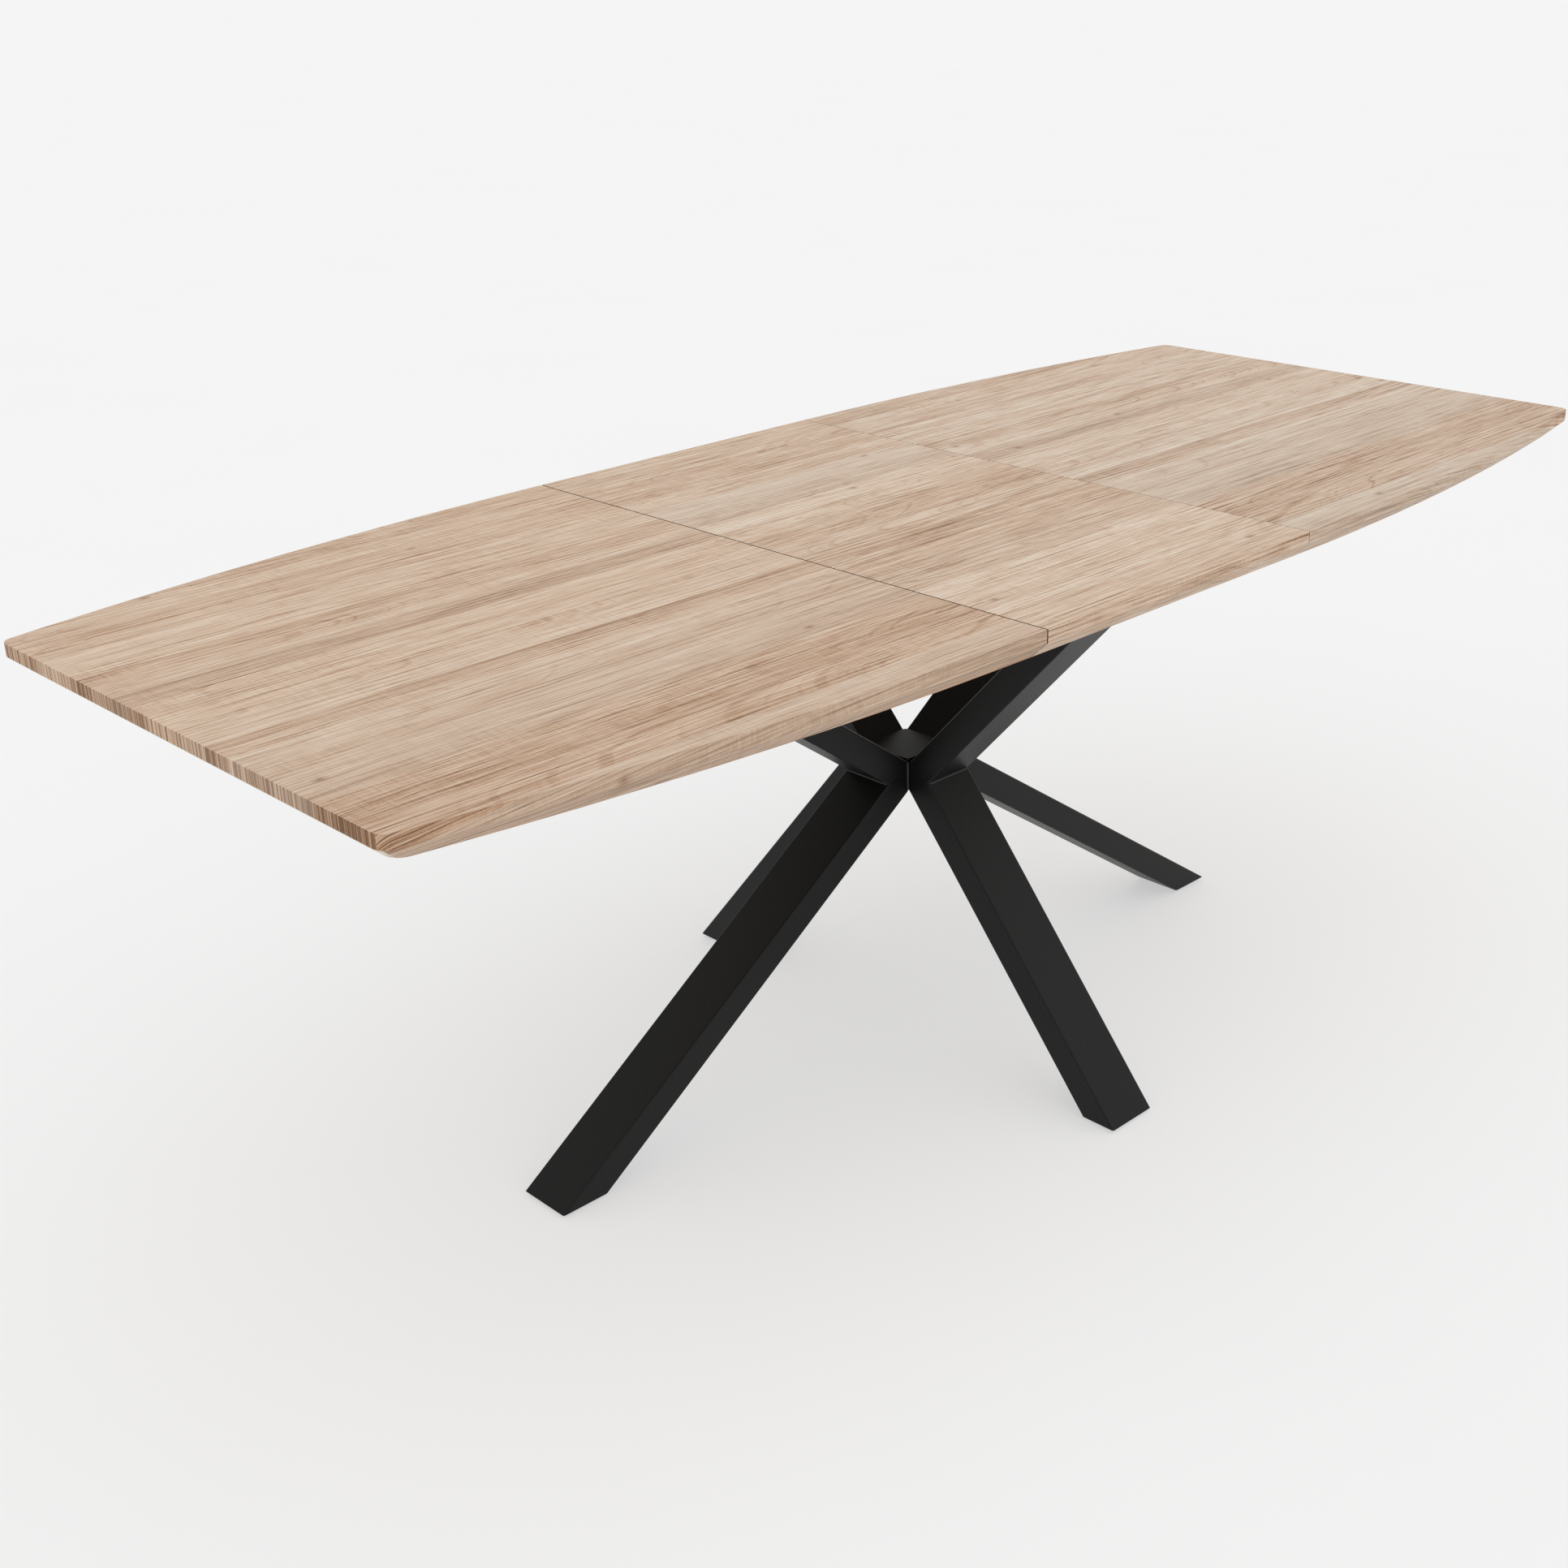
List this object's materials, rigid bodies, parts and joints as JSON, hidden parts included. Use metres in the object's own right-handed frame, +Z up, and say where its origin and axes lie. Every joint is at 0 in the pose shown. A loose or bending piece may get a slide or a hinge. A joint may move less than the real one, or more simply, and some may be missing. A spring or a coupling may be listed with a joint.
{
  "type": "extendable dining table",
  "caption": "Barrel-shaped wooden table top in sliding end leaves with a lift-out middle leaf, on a crossed base of slanting black rectangular steel tube.",
  "frame": {"origin": "on the floor under the centre of the table, level with the underside of the glides", "axes": "+X along the table's length towards its right end leaf, +Y towards its back edge, +Z up"},
  "size_m": [2.1, 0.9, 0.76],
  "materials": {
    "oak_decor": "matt light oak with brown grain along the table",
    "black_steel": "fine satin black powder coat",
    "frame_steel": "matt black paint",
    "slide_aluminium": "drawn, satin anodised",
    "zinc_steel": "zinc plated",
    "black_nylon": "moulded, matt",
    "white_nylon": "moulded, natural white"
  },
  "bodies": {
    "base": {"arm_back": "black_steel", "arm_flange_back": "black_steel", "arm_flange_front": "black_steel", "arm_flange_left": "black_steel", "arm_flange_right": "black_steel", "arm_front": "black_steel", "arm_left": "black_steel", "arm_right": "black_steel", "cross_rail_centre": "frame_steel", "cross_rail_left": "frame_steel", "cross_rail_right": "frame_steel", "flange_bolt_back_1": "zinc_steel", "flange_bolt_back_2": "zinc_steel", "flange_bolt_front_1": "zinc_steel", "flange_bolt_front_2": "zinc_steel", "flange_bolt_left_1": "zinc_steel", "flange_bolt_left_2": "zinc_steel", "flange_bolt_right_1": "zinc_steel", "flange_bolt_right_2": "zinc_steel", "foot_insert_back": "black_nylon", "foot_insert_front": "black_nylon", "foot_insert_left": "black_nylon", "foot_insert_right": "black_nylon", "frame_rail_back": "frame_steel", "frame_rail_front": "frame_steel", "hub_bottom_plate": "black_steel", "hub_top_plate": "black_steel", "hub_tube": "black_steel", "left_guide_back": "slide_aluminium", "left_guide_front": "slide_aluminium", "left_stop_screw_back": "zinc_steel", "left_stop_screw_front": "zinc_steel", "leg_back": "black_steel", "leg_front": "black_steel", "leg_left": "black_steel", "leg_right": "black_steel", "pinion_axle": "zinc_steel", "pinion_housing": "zinc_steel", "right_guide_back": "slide_aluminium", "right_guide_front": "slide_aluminium", "right_stop_screw_back": "zinc_steel", "right_stop_screw_front": "zinc_steel"},
    "left_top": {"left_leaf": "oak_decor", "left_pin_back": "zinc_steel", "left_pin_front": "zinc_steel", "left_rack": "white_nylon", "left_runner_back": "slide_aluminium", "left_runner_front": "slide_aluminium"},
    "right_top": {"right_leaf": "oak_decor", "right_pin_back": "zinc_steel", "right_pin_front": "zinc_steel", "right_rack": "white_nylon", "right_runner_back": "slide_aluminium", "right_runner_front": "slide_aluminium"},
    "middle_top": {"middle_leaf": "oak_decor"},
    "pinion": {"sync_pinion": "white_nylon"},
    "foot_back": {"glide_back": "black_nylon"},
    "foot_front": {"glide_front": "black_nylon"},
    "foot_left": {"glide_left": "black_nylon"},
    "foot_right": {"glide_right": "black_nylon"}
  },
  "joints": [
    {"name": "left_leaf_slide", "type": "slide", "parent": "base", "child": "left_top", "axis": [-1, 0, 0], "range_m": [0, 0.025]},
    {"name": "right_leaf_slide", "type": "slide", "parent": "base", "child": "right_top", "axis": [1, 0, 0], "range_m": [0, 0.025]},
    {"name": "pinion_turn", "type": "hinge", "parent": "base", "child": "pinion", "pos_m": [0, 0, 0.708], "axis": [0, 0, 1], "range_deg": [0, 72]},
    {"name": "middle_leaf_lift", "type": "slide", "parent": "base", "child": "middle_top", "axis": [0, 0, 1], "range_m": [0, 0.15]},
    {"name": "glide_left_screw", "type": "slide", "parent": "base", "child": "foot_left", "axis": [0, 0, -1], "range_m": [0, 0.004]},
    {"name": "glide_right_screw", "type": "slide", "parent": "base", "child": "foot_right", "axis": [0, 0, -1], "range_m": [0, 0.004]},
    {"name": "glide_front_screw", "type": "slide", "parent": "base", "child": "foot_front", "axis": [0, 0, -1], "range_m": [0, 0.004]},
    {"name": "glide_back_screw", "type": "slide", "parent": "base", "child": "foot_back", "axis": [0, 0, -1], "range_m": [0, 0.004]}
  ],
  "couplings": [
    {"joint": "right_leaf_slide", "follows": "left_leaf_slide", "ratio": 1},
    {"joint": "pinion_turn", "follows": "left_leaf_slide", "rad_per_m": 50}
  ]
}
